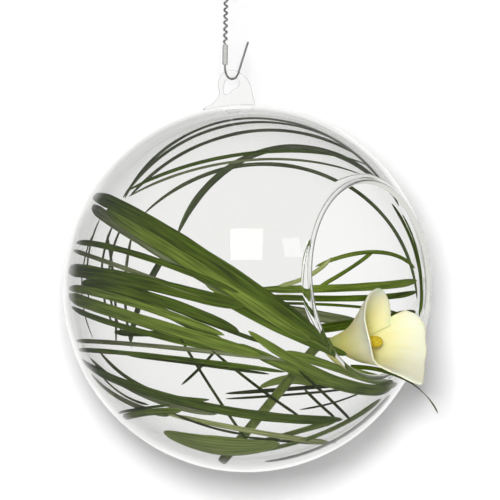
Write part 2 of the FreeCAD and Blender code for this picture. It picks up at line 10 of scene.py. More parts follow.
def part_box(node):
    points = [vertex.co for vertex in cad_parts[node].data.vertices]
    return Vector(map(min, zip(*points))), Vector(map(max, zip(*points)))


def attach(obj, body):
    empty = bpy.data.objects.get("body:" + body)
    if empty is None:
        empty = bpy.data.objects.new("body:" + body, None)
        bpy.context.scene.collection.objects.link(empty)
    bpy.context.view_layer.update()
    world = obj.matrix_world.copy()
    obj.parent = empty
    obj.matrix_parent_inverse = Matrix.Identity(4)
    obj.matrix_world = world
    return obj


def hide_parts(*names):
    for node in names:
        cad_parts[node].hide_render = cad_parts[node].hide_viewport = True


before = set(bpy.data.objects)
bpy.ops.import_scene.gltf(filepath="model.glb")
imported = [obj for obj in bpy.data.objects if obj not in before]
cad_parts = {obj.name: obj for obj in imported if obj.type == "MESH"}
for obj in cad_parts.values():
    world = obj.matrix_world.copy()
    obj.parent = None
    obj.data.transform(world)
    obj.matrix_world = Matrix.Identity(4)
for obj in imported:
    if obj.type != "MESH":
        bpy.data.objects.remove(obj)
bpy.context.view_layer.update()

bl_info = {
    "name": "Hanging Glass Vase",
    "version": (1, 0, 0),
    "blender": (4, 5, 0),
    "location": "View3D > Sidebar > Vase",
    "description": "Builds a hanging glass globe vase with grass, leaves and a calla lily",
    "category": "Add Mesh",
}

MM = 0.001
UP = Vector((0, 0, 1))


def hex_colour(text):
    """An sRGB hex value as a linear colour with full alpha."""

    def channel(pair):
        value = int(pair, 16) / 255
        return value / 12.92 if value <= 0.04045 else ((value + 0.055) / 1.055) ** 2.4

    return tuple(channel(text[i : i + 2]) for i in (1, 3, 5)) + (1.0,)


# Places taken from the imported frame
GLOBE_LOW, GLOBE_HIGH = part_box("glass_globe")
# The facets lie a hair inside the true sphere, whose radius is in whole millimetres
GLOBE_RADIUS = round((GLOBE_HIGH.y - GLOBE_LOW.y) / 2, 3)
GLOBE_CENTRE = GLOBE_LOW + Vector((GLOBE_RADIUS,) * 3)
GLASS_WALL = 2 * MM
INNER_RADIUS = GLOBE_RADIUS - GLASS_WALL


# Settings
class GlassSettings(bpy.types.PropertyGroup):
    """The glass globe and its loop"""

    wall: FloatProperty(
        name="Wall", description="Thickness of the blown glass", default=GLASS_WALL, unit="LENGTH"
    )
    mouth: FloatProperty(
        name="Mouth", description="Diameter of the mouth's rim", default=106 * MM, unit="LENGTH"
    )
    bead: FloatProperty(
        name="Bead", description="Thickness of the fire-polished rim", default=3 * MM, unit="LENGTH"
    )
    loop_depth: FloatProperty(
        name="Loop depth", description="Depth of the glass loop", default=3.2 * MM, unit="LENGTH"
    )
    tint: FloatVectorProperty(
        name="Tint",
        description="Colour of the glass",
        subtype="COLOR",
        size=4,
        default=hex_colour("#fefefd"),
    )


class GrassSettings(bpy.types.PropertyGroup):
    """The grass and the leaves"""

    thickness: FloatProperty(
        name="Thickness", description="Thickness of a blade", default=0.26 * MM, unit="LENGTH"
    )
    fold: FloatProperty(
        name="Fold", description="Depth of a blade's middle groove", default=0.3 * MM, unit="LENGTH"
    )
    dark: FloatVectorProperty(
        name="Dark green",
        description="Darker green of most blades",
        subtype="COLOR",
        size=4,
        default=hex_colour("#252f09"),
    )
    bright: FloatVectorProperty(
        name="Bright green",
        description="Brighter green of most blades",
        subtype="COLOR",
        size=4,
        default=hex_colour("#566d1a"),
    )


class FlowerSettings(bpy.types.PropertyGroup):
    """The calla lily"""

    wall: FloatProperty(
        name="Wall", description="Thickness of the spathe", default=0.9 * MM, unit="LENGTH"
    )
    cream: FloatVectorProperty(
        name="Cream",
        description="Colour of the spathe's lip",
        subtype="COLOR",
        size=4,
        default=hex_colour("#e1e3ca"),
    )
    yellow: FloatVectorProperty(
        name="Spadix yellow",
        description="Brighter yellow of the spadix",
        subtype="COLOR",
        size=4,
        default=hex_colour("#dcc63c"),
    )


class StageSettings(bpy.types.PropertyGroup):
    """The camera"""

    view_width: FloatProperty(
        name="View width",
        description="Width of the picture at the vase",
        default=272 * MM,
        unit="LENGTH",
    )
    camera_distance: FloatProperty(
        name="Camera distance",
        description="From the camera to the globe's centre",
        default=5.0,
        unit="LENGTH",
    )


# Materials
def new_material(name):
    """A material with an empty node tree."""
    material = bpy.data.materials.new(name)
    material.use_nodes = True
    material.node_tree.nodes.clear()
    return material


def add_node(tree, kind, links=(), sockets=(), **settings):
    """Adds a node: links are (input, output socket), sockets are (input, value)."""
    node = tree.nodes.new(kind)
    for name, value in settings.items():
        setattr(node, name, value)
    for name, value in sockets:
        node.inputs[name].default_value = value
    for name, source in links:
        tree.links.new(source, node.inputs[name])
    return node


def ramp(tree, source, stops):
    """A colour ramp with its stops as (place, colour)."""
    node = add_node(tree, "ShaderNodeValToRGB", links=[("Fac", source)])
    elements = node.color_ramp.elements
    while len(elements) < len(stops):
        elements.new(0.5)
    for element, (place, colour) in zip(elements, stops):
        element.position = place
        element.color = colour
    return node.outputs["Color"]


def any_ray(tree, names):
    """One where the ray is of one of these kinds."""
    light = add_node(tree, "ShaderNodeLightPath")
    seen = light.outputs[names[0]]
    for name in names[1:]:
        seen = add_node(
            tree, "ShaderNodeMath", operation="MAXIMUM", links=[(0, seen), (1, light.outputs[name])]
        ).outputs[0]
    return seen


def cells(size):
    """The scale of a noise on Object coordinates whose cells have this size in millimetres."""
    return 1 / (size * MM)


# The lamps' light that the wall lets through, from where it is seen face-on to where edge-on
LIGHT_THROUGH = [(0.0, "#fbfbfb"), (0.36, "#f0f0f0"), (0.52, "#c9c9c9"), (1.0, "#9a9a9a")]
CAUGHT_DEPTH = 9.5  # a ray with more turns than this is caught in the wall
WAVE_SIZE = 45.45  # mm from wave to wave in the blown wall


def blown_glass(tint):
    """Blown soda-lime glass, fire-polished at the mouth."""
    # It gives the eye a clear wall with slow waves, crisp windows and edges that turn grey
    material = new_material("Blown soda-lime glass")
    tree = material.node_tree
    place = add_node(tree, "ShaderNodeTexCoord").outputs["Object"]
    waves = add_node(
        tree,
        "ShaderNodeTexNoise",
        links=[("Vector", place)],
        sockets=[("Scale", cells(WAVE_SIZE)), ("Detail", 1.0)],
    )
    bump = add_node(
        tree,
        "ShaderNodeBump",
        links=[("Height", waves.outputs["Fac"])],
        sockets=[("Strength", 0.12), ("Distance", 2 * MM)],
    )
    glass = add_node(
        tree,
        "ShaderNodeBsdfPrincipled",
        links=[("Normal", bump.outputs["Normal"])],
        sockets=[
            ("Base Color", tint),
            ("Roughness", 0.0),
            ("IOR", 1.5),
            ("Transmission Weight", 1.0),
        ],
    )
    # The lamps' light goes straight through, so that what lies inside is lit and no caustic is lost
    facing = add_node(tree, "ShaderNodeLayerWeight", sockets=[("Blend", 0.5)]).outputs["Facing"]
    shade = ramp(tree, facing, [(share, hex_colour(grey)) for share, grey in LIGHT_THROUGH])
    clear = add_node(tree, "ShaderNodeBsdfTransparent", links=[("Color", shade)])
    lamp_light = any_ray(tree, ["Is Shadow Ray", "Is Diffuse Ray"])
    seen_or_lit = add_node(
        tree,
        "ShaderNodeMixShader",
        links=[(0, lamp_light), (1, glass.outputs["BSDF"]), (2, clear.outputs["BSDF"])],
    )
    # A ray that is caught in the wall makes the glass glow pale instead of black: painted light that
    # stands in for the room's light
    caught = add_node(
        tree,
        "ShaderNodeMath",
        operation="GREATER_THAN",
        links=[(0, add_node(tree, "ShaderNodeLightPath").outputs["Ray Depth"])],
        sockets=[(1, CAUGHT_DEPTH)],
    )
    pale = add_node(
        tree, "ShaderNodeEmission", sockets=[("Color", hex_colour("#dfe0da")), ("Strength", 1.0)]
    )
    whole = add_node(
        tree,
        "ShaderNodeMixShader",
        links=[
            (0, caught.outputs[0]),
            (1, seen_or_lit.outputs["Shader"]),
            (2, pale.outputs["Emission"]),
        ],
    )
    add_node(tree, "ShaderNodeOutputMaterial", links=[("Surface", whole.outputs["Shader"])])
    return material


MARK_SIZE = 0.5556  # mm, which is coarser than real drawing marks, so that they show in the render


def drawn_metal(name, colour, roughness, metallic):
    """Drawn wire or pressed tube."""
    # It gives the eye a dull grey shine, broken by the fine marks of drawing and crimping
    material = new_material(name)
    tree = material.node_tree
    place = add_node(tree, "ShaderNodeTexCoord").outputs["Object"]
    marks = add_node(
        tree,
        "ShaderNodeTexNoise",
        links=[("Vector", place)],
        sockets=[("Scale", cells(MARK_SIZE)), ("Detail", 4.0)],
    )
    dark = tuple(0.7 * c for c in colour[:3]) + (1.0,)
    shade = ramp(tree, marks.outputs["Fac"], [(0.35, dark), (0.65, colour)])
    rough = add_node(
        tree,
        "ShaderNodeMapRange",
        links=[("Value", marks.outputs["Fac"])],
        sockets=[("To Min", roughness - 0.08), ("To Max", roughness + 0.1)],
    )
    bump = add_node(
        tree,
        "ShaderNodeBump",
        links=[("Height", marks.outputs["Fac"])],
        sockets=[("Strength", 0.25), ("Distance", 0.05 * MM)],
    )
    metal = add_node(
        tree,
        "ShaderNodeBsdfPrincipled",
        links=[
            ("Base Color", shade),
            ("Roughness", rough.outputs["Result"]),
            ("Normal", bump.outputs["Normal"]),
        ],
        sockets=[("Metallic", metallic)],
    )
    add_node(tree, "ShaderNodeOutputMaterial", links=[("Surface", metal.outputs["BSDF"])])
    return material


def leaf_blade(name, dark, bright, vein, gloss):
    """A fresh leaf with parallel veins a number of millimetres apart.

    The blade attribute holds the place across in half millimetres and along in centimetres, and a
    chance value that sets blades apart."""
    # It gives the eye lengthwise veins, soft patches of two greens and a dull waxy sheen
    material = new_material(name)
    tree = material.node_tree
    blade = add_node(tree, "ShaderNodeAttribute", attribute_name="blade").outputs["Vector"]
    # Veins run on for 83 mm, and patches are 1 mm across and 22 mm long
    vein_scale = (0.5 / vein, 0.12, 7.0)
    patch_scale = (0.5, 0.45, 13.0)
    fields = []
    for scale, detail, rough in ((vein_scale, 3.0, 0.6), (patch_scale, 2.0, 0.5)):
        stretched = add_node(
            tree, "ShaderNodeMapping", links=[("Vector", blade)], sockets=[("Scale", scale)]
        )
        field = add_node(
            tree,
            "ShaderNodeTexNoise",
            links=[("Vector", stretched.outputs["Vector"])],
            sockets=[("Scale", 1.0), ("Detail", detail), ("Roughness", rough)],
        )
        fields.append(field.outputs["Fac"])
    veins, patches = fields
    total = add_node(tree, "ShaderNodeMath", operation="ADD", links=[(0, veins), (1, patches)])
    mean = add_node(
        tree, "ShaderNodeMath", operation="MULTIPLY", links=[(0, total.outputs[0])], sockets=[(1, 0.5)]
    )
    colour = ramp(tree, mean.outputs[0], [(0.38, dark), (0.62, bright)])
    bump = add_node(
        tree,
        "ShaderNodeBump",
        links=[("Height", veins)],
        sockets=[("Strength", 0.35), ("Distance", 0.3 * MM)],
    )
    leaf = add_node(
        tree,
        "ShaderNodeBsdfPrincipled",
        links=[("Base Color", colour), ("Normal", bump.outputs["Normal"])],
        sockets=[("Roughness", gloss), ("IOR", 1.4), ("Specular IOR Level", 0.3)],
    )
    add_node(tree, "ShaderNodeOutputMaterial", links=[("Surface", leaf.outputs["BSDF"])])
    return material


def spathe_petal(cream):
    """A calla's waxy spathe. The blade attribute holds the angle round it and the shares along it."""
    # It gives the eye a soft cream lip, yellower and then green towards the stem, and faint veins
    material = new_material("Calla spathe, waxy cream")
    tree = material.node_tree
    blade = add_node(tree, "ShaderNodeAttribute", attribute_name="blade").outputs["Vector"]
    parts = add_node(tree, "ShaderNodeSeparateXYZ", links=[("Vector", blade)])
    # 14 veins to a radian, which is one every 2 mm at the lip
    veins = add_node(
        tree, "ShaderNodeMapping", links=[("Vector", blade)], sockets=[("Scale", (14.0, 0.6, 1.0))]
    )
    grain = add_node(
        tree,
        "ShaderNodeTexNoise",
        links=[("Vector", veins.outputs["Vector"])],
        sockets=[("Scale", 1.0), ("Detail", 3.0)],
    )
    along = add_node(
        tree,
        "ShaderNodeMath",
        operation="MULTIPLY_ADD",
        links=[(0, grain.outputs["Fac"]), (2, parts.outputs["Y"])],
        sockets=[(1, 0.25)],
    )
    stops = [
        (0.1, hex_colour("#a9b25a")),
        (0.42, hex_colour("#d6d078")),
        (0.75, hex_colour("#e0dda8")),
        (1.0, cream),
    ]
    colour = ramp(tree, along.outputs[0], stops)
    bump = add_node(
        tree,
        "ShaderNodeBump",
        links=[("Height", grain.outputs["Fac"])],
        sockets=[("Strength", 0.3), ("Distance", 0.4 * MM)],
    )
    petal = add_node(
        tree,
        "ShaderNodeBsdfPrincipled",
        links=[("Base Color", colour), ("Normal", bump.outputs["Normal"])],
        sockets=[
            ("Roughness", 0.5),
            ("IOR", 1.4),
            ("Subsurface Weight", 0.25),
            ("Subsurface Scale", 2 * MM),
        ],
    )
    add_node(tree, "ShaderNodeOutputMaterial", links=[("Surface", petal.outputs["BSDF"])])
    return material


def plant_flesh(name, dark, bright, grain_size, roughness):
    """Stem or spadix, with a grain of a real size in millimetres."""
    # It gives the eye two tones of one colour in soft spots, with a dull sheen
    material = new_material(name)
    tree = material.node_tree
    place = add_node(tree, "ShaderNodeTexCoord").outputs["Object"]
    grain = add_node(
        tree,
        "ShaderNodeTexNoise",
        links=[("Vector", place)],
        sockets=[("Scale", cells(grain_size)), ("Detail", 3.0)],
    )
    colour = ramp(tree, grain.outputs["Fac"], [(0.35, dark), (0.65, bright)])
    flesh = add_node(
        tree,
        "ShaderNodeBsdfPrincipled",
        links=[("Base Color", colour)],
        sockets=[("Roughness", roughness), ("IOR", 1.4)],
    )
    add_node(tree, "ShaderNodeOutputMaterial", links=[("Surface", flesh.outputs["BSDF"])])
    return material


# Making pieces
def new_piece(name, bm, material, body, nodes):
    """Turns a bmesh into a smooth piece that rides on a body and replaces CAD nodes."""
    mesh = bpy.data.meshes.new(name)
    bm.to_mesh(mesh)
    bm.free()
    mesh.shade_smooth()
    piece = bpy.data.objects.new(name, mesh)
    bpy.context.scene.collection.objects.link(piece)
    mesh.materials.append(material)
    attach(piece, body)
    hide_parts(*nodes)
    return piece


def give_material(node, material):
    """Gives a CAD node that stays its finish."""
    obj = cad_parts[node]
    for slot in obj.material_slots:
        slot.material = material
    if not obj.material_slots:
        obj.data.materials.append(material)


def direction(turn, rise):
    """A unit vector, turned from the right towards the front and raised, in degrees."""
    flat = math.cos(math.radians(rise))
    return Vector(
        (
            flat * math.cos(math.radians(turn)),
            -flat * math.sin(math.radians(turn)),
            math.sin(math.radians(rise)),
        )
    )


def arc_through(a, b, c):
    """The circle from a through b to c: its centre, its radius, its two unit arms and its sweep."""
    ab, ac = b - a, c - a
    normal = ab.cross(ac)
    offset = normal.cross(ab) * ac.length_squared + ac.cross(normal) * ab.length_squared
    centre = a + offset / (2 * normal.length_squared)
    first = (a - centre).normalized()
    second = normal.normalized().cross(first)
    sweep = math.atan2((c - centre).dot(second), (c - centre).dot(first)) % math.tau
    return centre, (a - centre).length, first, second, sweep


# Glass globe
MOUTH_TURN = 38.0  # degrees from the right towards the front
MOUTH_RISE = 3.5  # degrees upwards
WALL_STEPS = 72
BEAD_STEPS = 16
SPIN_STEPS = 144


def globe_section(settings):
    """The wall's half section in the plane of the mouth's axis, from pole to pole round the bead."""
    outer, inner = GLOBE_RADIUS, GLOBE_RADIUS - settings.wall
    bead = settings.bead / 2
    ring = inner + bead
    half = math.asin(settings.mouth / 2 / ring)

    def on_sphere(radius, angle):
        return Vector((radius * math.sin(angle), 0, radius * math.cos(angle)))

    def wall_arc(radius, start, end):
        turns = [start + (end - start) * i / WALL_STEPS for i in range(WALL_STEPS + 1)]
        return [on_sphere(radius, turn) for turn in turns]

    meeting = half + math.acos((outer**2 + ring**2 - bead**2) / (2 * outer * ring))
    outside = wall_arc(outer, math.pi, meeting)
    inside = wall_arc(inner, half, math.pi)
    middle = on_sphere(ring, half)
    first, last = [math.atan2(arm.x, arm.z) for arm in (outside[-1] - middle, inside[0] - middle)]
    while last > first:
        last -= math.tau
    turns = [first + (last - first) * i / BEAD_STEPS for i in range(1, BEAD_STEPS)]
    rim = [middle + bead * Vector((math.sin(turn), 0, math.cos(turn))) for turn in turns]
    return outside + rim + inside


def spun_globe(settings):
    """The section spun about the mouth's axis, with the mouth then turned to its place."""
    bm = bmesh.new()
    verts = [bm.verts.new(p) for p in globe_section(settings)]
    edges = [bm.edges.new(pair) for pair in zip(verts, verts[1:])]
    bmesh.ops.spin(
        bm,
        geom=verts + edges,
        cent=(0, 0, 0),
        axis=(0, 0, 1),
        angle=math.tau,
        steps=SPIN_STEPS,
        use_merge=True,
    )
    bmesh.ops.remove_doubles(bm, verts=bm.verts, dist=0.001 * MM)
    bmesh.ops.recalc_face_normals(bm, faces=bm.faces)
    turn = UP.rotation_difference(direction(MOUTH_TURN, MOUTH_RISE)).to_matrix().to_4x4()
    bmesh.ops.transform(bm, matrix=Matrix.Translation(GLOBE_CENTRE) @ turn, verts=bm.verts)
    return bm


# The glass loop in mm, right and up of where it stands. Its first and last point are in the wall.
LOOP_OFFSET = -8.0
LOOP_OUTLINE = [
    (-15.8, -3.9),
    (-10.3, 0.9),
    (-7.0, 5.6),
    (-7.6, 10.8),
    (-5.3, 16.55),
    (0.0, 18.6),
    (5.9, 16.2),
    (9.8, 11.2),
    (11.2, 5.2),
    (11.7, -1.0),
    (-2.0, -1.6),
]
LOOP_HOLE = [
    (0.0, 14.8),
    (-3.1, 13.5),
    (-4.4, 9.8),
    (-3.6, 5.4),
    (0.1, 7.7),
    (3.5, 9.9),
    (3.7, 12.7),
    (2.4, 14.3),
]
LOOP_VOXEL = 0.3 * MM
LOOP_SMOOTHING = 16


def solid_from_outline(name, points, depth):
    """A flat outline drawn as one smooth closed curve, thickened both ways and stood on the globe."""
    curve = bpy.data.curves.new(name, "CURVE")
    curve.dimensions = "2D"
    curve.fill_mode = "BOTH"
    curve.resolution_u = 12
    spline = curve.splines.new("BEZIER")
    spline.bezier_points.add(len(points) - 1)
    for knot, (right, up) in zip(spline.bezier_points, points):
        knot.co = (right * MM, up * MM, 0)
        knot.handle_left_type = knot.handle_right_type = "AUTO"
    spline.use_cyclic_u = True
    curve.extrude = depth / 2
    obj = bpy.data.objects.new(name, curve)
    bpy.context.scene.collection.objects.link(obj)
    mesh = bpy.data.meshes.new_from_object(obj)
    bpy.data.objects.remove(obj)
    bm = bmesh.new()
    bm.from_mesh(mesh)
    bpy.data.meshes.remove(mesh)
    bmesh.ops.remove_doubles(bm, verts=bm.verts, dist=0.0001 * MM)
    bmesh.ops.recalc_face_normals(bm, faces=bm.faces)
    stand = Matrix.Translation(GLOBE_CENTRE + Vector((LOOP_OFFSET * MM, 0, GLOBE_RADIUS)))
    bmesh.ops.transform(bm, matrix=stand @ Matrix.Rotation(math.pi / 2, 4, "X"), verts=bm.verts)
    made = bpy.data.meshes.new(name)
    bm.to_mesh(made)
    bm.free()
    result = bpy.data.objects.new(name, made)
    bpy.context.scene.collection.objects.link(result)
    return result


def apply_modifiers(obj, *modifiers):
    """Gives the object its mesh with modifiers applied, as (kind, settings)."""
    for kind, settings in modifiers:
        modifier = obj.modifiers.new(kind, kind)
        for name, value in settings.items():
            setattr(modifier, name, value)
    depsgraph = bpy.context.evaluated_depsgraph_get()
    mesh = bpy.data.meshes.new_from_object(obj.evaluated_get(depsgraph))
    obj.modifiers.clear()
    obj.data = mesh


class VASE_OT_glass_globe(bpy.types.Operator):
    """Spins the globe's wall and fuses the glass loop on it"""

    bl_idname = "vase.glass_globe"
    bl_label = "Glass Globe"

    def execute(self, context):
        settings = context.scene.vase_glass
        glass = blown_glass(settings.tint)
        loop = solid_from_outline("loop", LOOP_OUTLINE, settings.loop_depth)
        hole = solid_from_outline("hole", LOOP_HOLE, 4 * settings.loop_depth)
        apply_modifiers(
            loop,
            ("BOOLEAN", {"operation": "DIFFERENCE", "object": hole, "solver": "EXACT"}),
            ("REMESH", {"mode": "VOXEL", "voxel_size": LOOP_VOXEL, "use_smooth_shade": True}),
            ("SMOOTH", {"factor": 0.5, "iterations": LOOP_SMOOTHING}),
        )
        wall = spun_globe(settings)
        globe = new_piece("glass_vase", wall, glass, "vase", ["glass_globe"])
        apply_modifiers(globe, ("BOOLEAN", {"operation": "UNION", "object": loop, "solver": "EXACT"}))
        globe.data.shade_smooth()
        globe.data.materials.clear()
        globe.data.materials.append(glass)
        bpy.data.objects.remove(loop)
        bpy.data.objects.remove(hole)
        return {"FINISHED"}


# Wire hanger
class VASE_OT_wire_hanger(bpy.types.Operator):
    """Finishes the wire hanger and its crimped sleeve"""

    bl_idname = "vase.wire_hanger"
    bl_label = "Wire Hanger"

    def execute(self, context):
        wire = drawn_metal("Galvanised steel wire", hex_colour("#e2e1df"), 0.45, 0.9)
        sleeve = drawn_metal("Pressed aluminium sleeve", hex_colour("#f0efec"), 0.5, 0.6)
        give_material("hanger_wire", wire)
        give_material("crimp_sleeve", sleeve)
        return {"FINISHED"}


# Grass and leaves
FRONT, BACK = -1, 1

# Blades: node, width in mm, finish, wall, and three points of the middle line. A point is right and
# up of the globe's centre in hundredths of its inner radius.
GRASS = [
    ("grass_top_1", 3.2, "grey", BACK, (-69, 51), (2, 96), (85, 46)),
    ("grass_top_2", 3.0, "grey", FRONT, (-67, 49.5), (-1, 90), (57, 75.5)),
    ("grass_top_3", 3.2, "grey", BACK, (-66, 52), (2, 88.6), (60, 76)),
    ("grass_top_4", 2.7, "dark", FRONT, (-65, 53), (-9, 72), (66, 67)),
    ("grass_top_5", 2.8, "grey", BACK, (-58, 42), (30, 68), (95, -6)),
    ("grass_top_6", 4.4, "grey", BACK, (-39, 31), (8, 77), (82, 51)),
    ("grass_left_1", 1.8, "grey", BACK, (-83, 39), (-90, 15), (-88, -12)),
    ("grass_left_2", 2.0, "grey", BACK, (-75, 37), (-82, 7), (-75, -22)),
    ("grass_left_3", 2.2, "pale", BACK, (-65, 30), (-69, -1), (-65, -34)),
    ("grass_left_4", 4.0, "grey", BACK, (-44, 22), (-56, 2), (-66, -32)),
    ("grass_left_5", 2.0, "grey", BACK, (-79, 30), (-75, 0), (-74, -32)),
    ("grass_main_1", 7.5, "dark", FRONT, (-85, 51), (-31, 23), (47, -31)),
    ("grass_main_2", 7.2, "bright", FRONT, (-76, 43), (-26, 11), (35, -28)),
    ("grass_main_3", 4.9, "dark", FRONT, (-18, -2), (30, -27), (55, -36)),
    ("grass_grey", 6.0, "pale", FRONT, (-86, 46), (-48, 21), (-1, -6)),
    ("grass_belt_1", 3.3, "dark", FRONT, (-93, 25), (-48, 15), (-4, -2)),
    ("grass_belt_2", 7.2, "dark", FRONT, (-98, 10), (-54, 3), (-1, -10)),
    ("grass_belt_3", 6.0, "dark", FRONT, (-90, 3), (-54, -4), (-4, -23)),
    ("grass_belt_4", 4.4, "bright", FRONT, (-97, 0), (-54, -10), (-12, -25)),
    ("grass_belt_5", 6.7, "bright", FRONT, (-98, -4), (-54, -18), (8, -36)),
    ("grass_belt_6", 4.4, "dark", FRONT, (-88, 8), (-50, -10), (-8, -31)),
    ("grass_low_1", 3.5, "dark", BACK, (-75, -25), (-54, -26), (-29, -25)),
    ("grass_low_2", 2.7, "dark", FRONT, (-93, -34), (-54, -36), (21, -45)),
    ("grass_low_3", 2.2, "dark", BACK, (-68, -38), (-31, -43), (13, -49)),
    ("grass_low_4", 6.2, "dark", FRONT, (-91, -39), (-26, -63), (52, -71)),
    ("grass_low_5", 2.7, "dark", FRONT, (-80, -34), (-62, -50), (-20, -60)),
    ("grass_cross_1", 1.6, "painted_shade", FRONT, (-38, -23), (-19, -54), (6, -90)),
    ("grass_cross_2", 1.6, "painted_shade", BACK, (-37, -55), (-26, -45), (-14, -31)),
    ("grass_cross_3", 1.6, "painted_shade", FRONT, (-19, -33), (2, -50), (30, -70)),
    ("grass_cross_4", 1.6, "painted_shade", FRONT, (28, -44), (40, -55), (57, -72)),
    ("grass_cross_5", 1.6, "painted_shade", FRONT, (31, -54), (40, -63), (48, -70)),
    ("grass_sweep_1", 1.6, "painted_shade", BACK, (-12, -63), (32, -60), (70, -55)),
    ("grass_sweep_2", 1.4, "painted_shade", BACK, (30, -69), (52, -64), (71, -56)),
    ("grass_sweep_3", 2.7, "painted_shade", BACK, (-12, -60), (30, -57), (74, -53)),
    ("grass_bundle_1", 4.9, "bright", FRONT, (1, -22.7), (35, -43.7), (82, -51.7)),
    ("grass_bundle_2", 5.4, "bright", FRONT, (-4, -29.7), (30, -45.7), (80, -54.7)),
    ("grass_bundle_3", 4.9, "bright", FRONT, (21, -33.7), (49, -42.7), (80, -51.7)),
    ("grass_bottom_1", 2.2, "dark", FRONT, (-4, -80), (24, -83), (49, -84)),
    ("grass_bottom_2", 1.6, "painted_shade", FRONT, (-41, -67), (-23, -74), (-1, -79)),
    ("grass_bottom_3", 4.0, "grey", FRONT, (10, -94), (43, -85), (78, -58)),
    ("grass_bottom_4", 1.6, "dark", FRONT, (-70, -68), (-57, -65), (-41, -63)),
    ("grass_bottom_5", 1.6, "dark", FRONT, (-80, -46), (-68, -57), (-53, -63)),
    ("grass_right_1", 4.2, "dark", BACK, (81, 47), (94, 20), (97, -13)),
    ("grass_right_2", 3.2, "dark", BACK, (87, 41), (97, 15), (96, -16)),
    ("grass_right_3", 2.2, "bright", BACK, (39, 12), (67, 20), (94, 11)),
    ("grass_right_4", 2.2, "bright", BACK, (40, 0), (57, 10), (72, 21)),
    ("grass_right_5", 4.4, "bright", BACK, (5, -1), (57, 0), (95, 4)),
    ("grass_right_6", 3.3, "dark", BACK, (8, -5), (60, -6), (95, -2)),
    ("grass_right_7", 1.6, "dark", BACK, (12, -9), (53, -10), (85, -14)),
]
# Strands that have split off a blade and lie beside it
SPLITS = [
    ("grass_belt_1", 2.4, "pale", FRONT, (-95, 21), (-60, 9), (-18, -6)),
    ("grass_belt_5", 3.2, "dark", FRONT, (-96, -10), (-58, -23), (-4, -35)),
    ("grass_belt_6", 2.2, "painted_shade", FRONT, (-70, 3), (-34, -13), (12, -30)),
    ("grass_low_2", 2.4, "pale", FRONT, (-94, -29), (-50, -31), (24, -39)),
    ("grass_low_5", 3.4, "pale", FRONT, (-85, -38), (-60, -56), (-16, -68)),
    ("grass_bottom_5", 4.0, "pale", FRONT, (-85, -47), (-68, -60), (-42, -69)),
    ("grass_bottom_3", 4.2, "bright", FRONT, (-2, -89), (40, -79), (73, -60)),
    ("grass_bottom_2", 4.0, "young", FRONT, (-43, -68), (2, -77), (45, -84)),
    ("grass_bottom_1", 4.6, "bright", FRONT, (4, -84), (26, -78), (50, -71)),
    ("grass_bottom_4", 4.2, "bright", FRONT, (-67, -71), (-52, -67), (-35, -66)),
    ("grass_main_3", 3.4, "bright", FRONT, (-22, 2), (22, -20), (49, -33)),
    ("grass_left_2", 1.8, "grey", BACK, (-70, 36), (-78, 6), (-70, -26)),
    ("grass_left_1", 1.6, "pale", BACK, (-87, 30), (-93, 6), (-87, -28)),
    ("grass_right_3", 2.4, "young", BACK, (18, 1), (34, 6), (48, 17)),
    ("grass_right_7", 6.5, "pale", BACK, (-14, -8), (25, -13.5), (66, -21)),
    ("grass_right_6", 5.5, "dark", BACK, (28, -25), (68, -19), (94, -13.5)),
    ("grass_top_4", 1.8, "pale", FRONT, (-64, 50), (-6, 69), (62, 62)),
]
# Leaves: node, width in mm, wall and three points
LEAVES = [
    ("broad_leaf", 21.0, FRONT, (-45, -78), (-8, -86), (18, -84)),
    ("small_leaf", 6.5, BACK, (7, -57), (24, -52), (42, -58)),
]
# The tail hangs free, so its points are in mm right, back and up of the globe's centre
TAIL = [Vector((56.1, -50.2, -42.3)), Vector((76.4, -46.1, -45.1)), Vector((103.3, -26.7, -67.4))]
TAIL_WIDTH = 4.0
EDGE_SHARE = 0.985  # how near to the globe's outline a blade may run
SOLID_THICKNESS = 0.3 * MM  # of a blade's CAD node
SPLIT_GAP = 0.35 * MM  # from the glass side of a blade to its split strands
GRASS_VEIN = 0.3125  # mm from vein to vein
LEAF_VEIN = 0.909
LEAF_FOLD = 0.5 * MM
BLADE_STEP = 2.2 * MM

# Width at the start as a share of the full one, share of the length where it is full, share where the
# taper to the tip begins, and twist at the tip in radians
GRASS_SHAPE = (0.12, 0.13, 0.84, 0.3)
LEAF_SHAPE = (0.1, 0.45, 0.4, 0.0)
TAIL_SHAPE = (1, 0.1, 0.0, 0.9)

# Finishes beside the dark one: material, darker and brighter green, roughness and slot. The shaded
# finish is painted shade: a darker copy of the grass for blades in shade
SHADES = {
    "painted_shade": ("Lily grass, shaded", "#1b2308", "#3a4813", 0.45, "dark_grass"),
    "bright": ("Lily grass, fresh", "#3f5014", "#7a8f38", 0.45, "pale_grass"),
    "grey": ("Lily grass, underside", "#3a432a", "#646e4c", 0.5, "dark_grass"),
    "young": ("Lily grass, blanched", "#7f8a4c", "#b7bd80", 0.5, "pale_grass"),
    "pale": ("Lily grass, grey side", "#4a5232", "#7f8762", 0.5, "pale_grass"),
}


def grass_finishes(settings):
    """The grass's materials and their slots, by the finish's name."""
    material = leaf_blade("Lily grass, dark", settings.dark, settings.bright, GRASS_VEIN, 0.45)
    finishes = {"dark": (material, "dark_grass")}
    for finish, (name, dark, bright, gloss, slot) in SHADES.items():
        material = leaf_blade(name, hex_colour(dark), hex_colour(bright), GRASS_VEIN, gloss)
        finishes[finish] = (material, slot)
    return finishes


def layer_radius(node):
    """How far from the globe's centre the middle of a CAD blade lies."""
    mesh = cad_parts[node].data
    farthest = max((vertex.co - GLOBE_CENTRE).length for vertex in mesh.vertices)
    return farthest - SOLID_THICKNESS / 2


def wall_point(right, up, side, radius):
    """A point on the front or back wall, kept a little inside the globe's outline."""
    flat = Vector((right, 0, up)) * (0.01 * INNER_RADIUS)
    most = radius * EDGE_SHARE
    if flat.length > most:
        flat *= most / flat.length
    return GLOBE_CENTRE + flat + Vector((0, side * math.sqrt(radius**2 - flat.length_squared), 0))


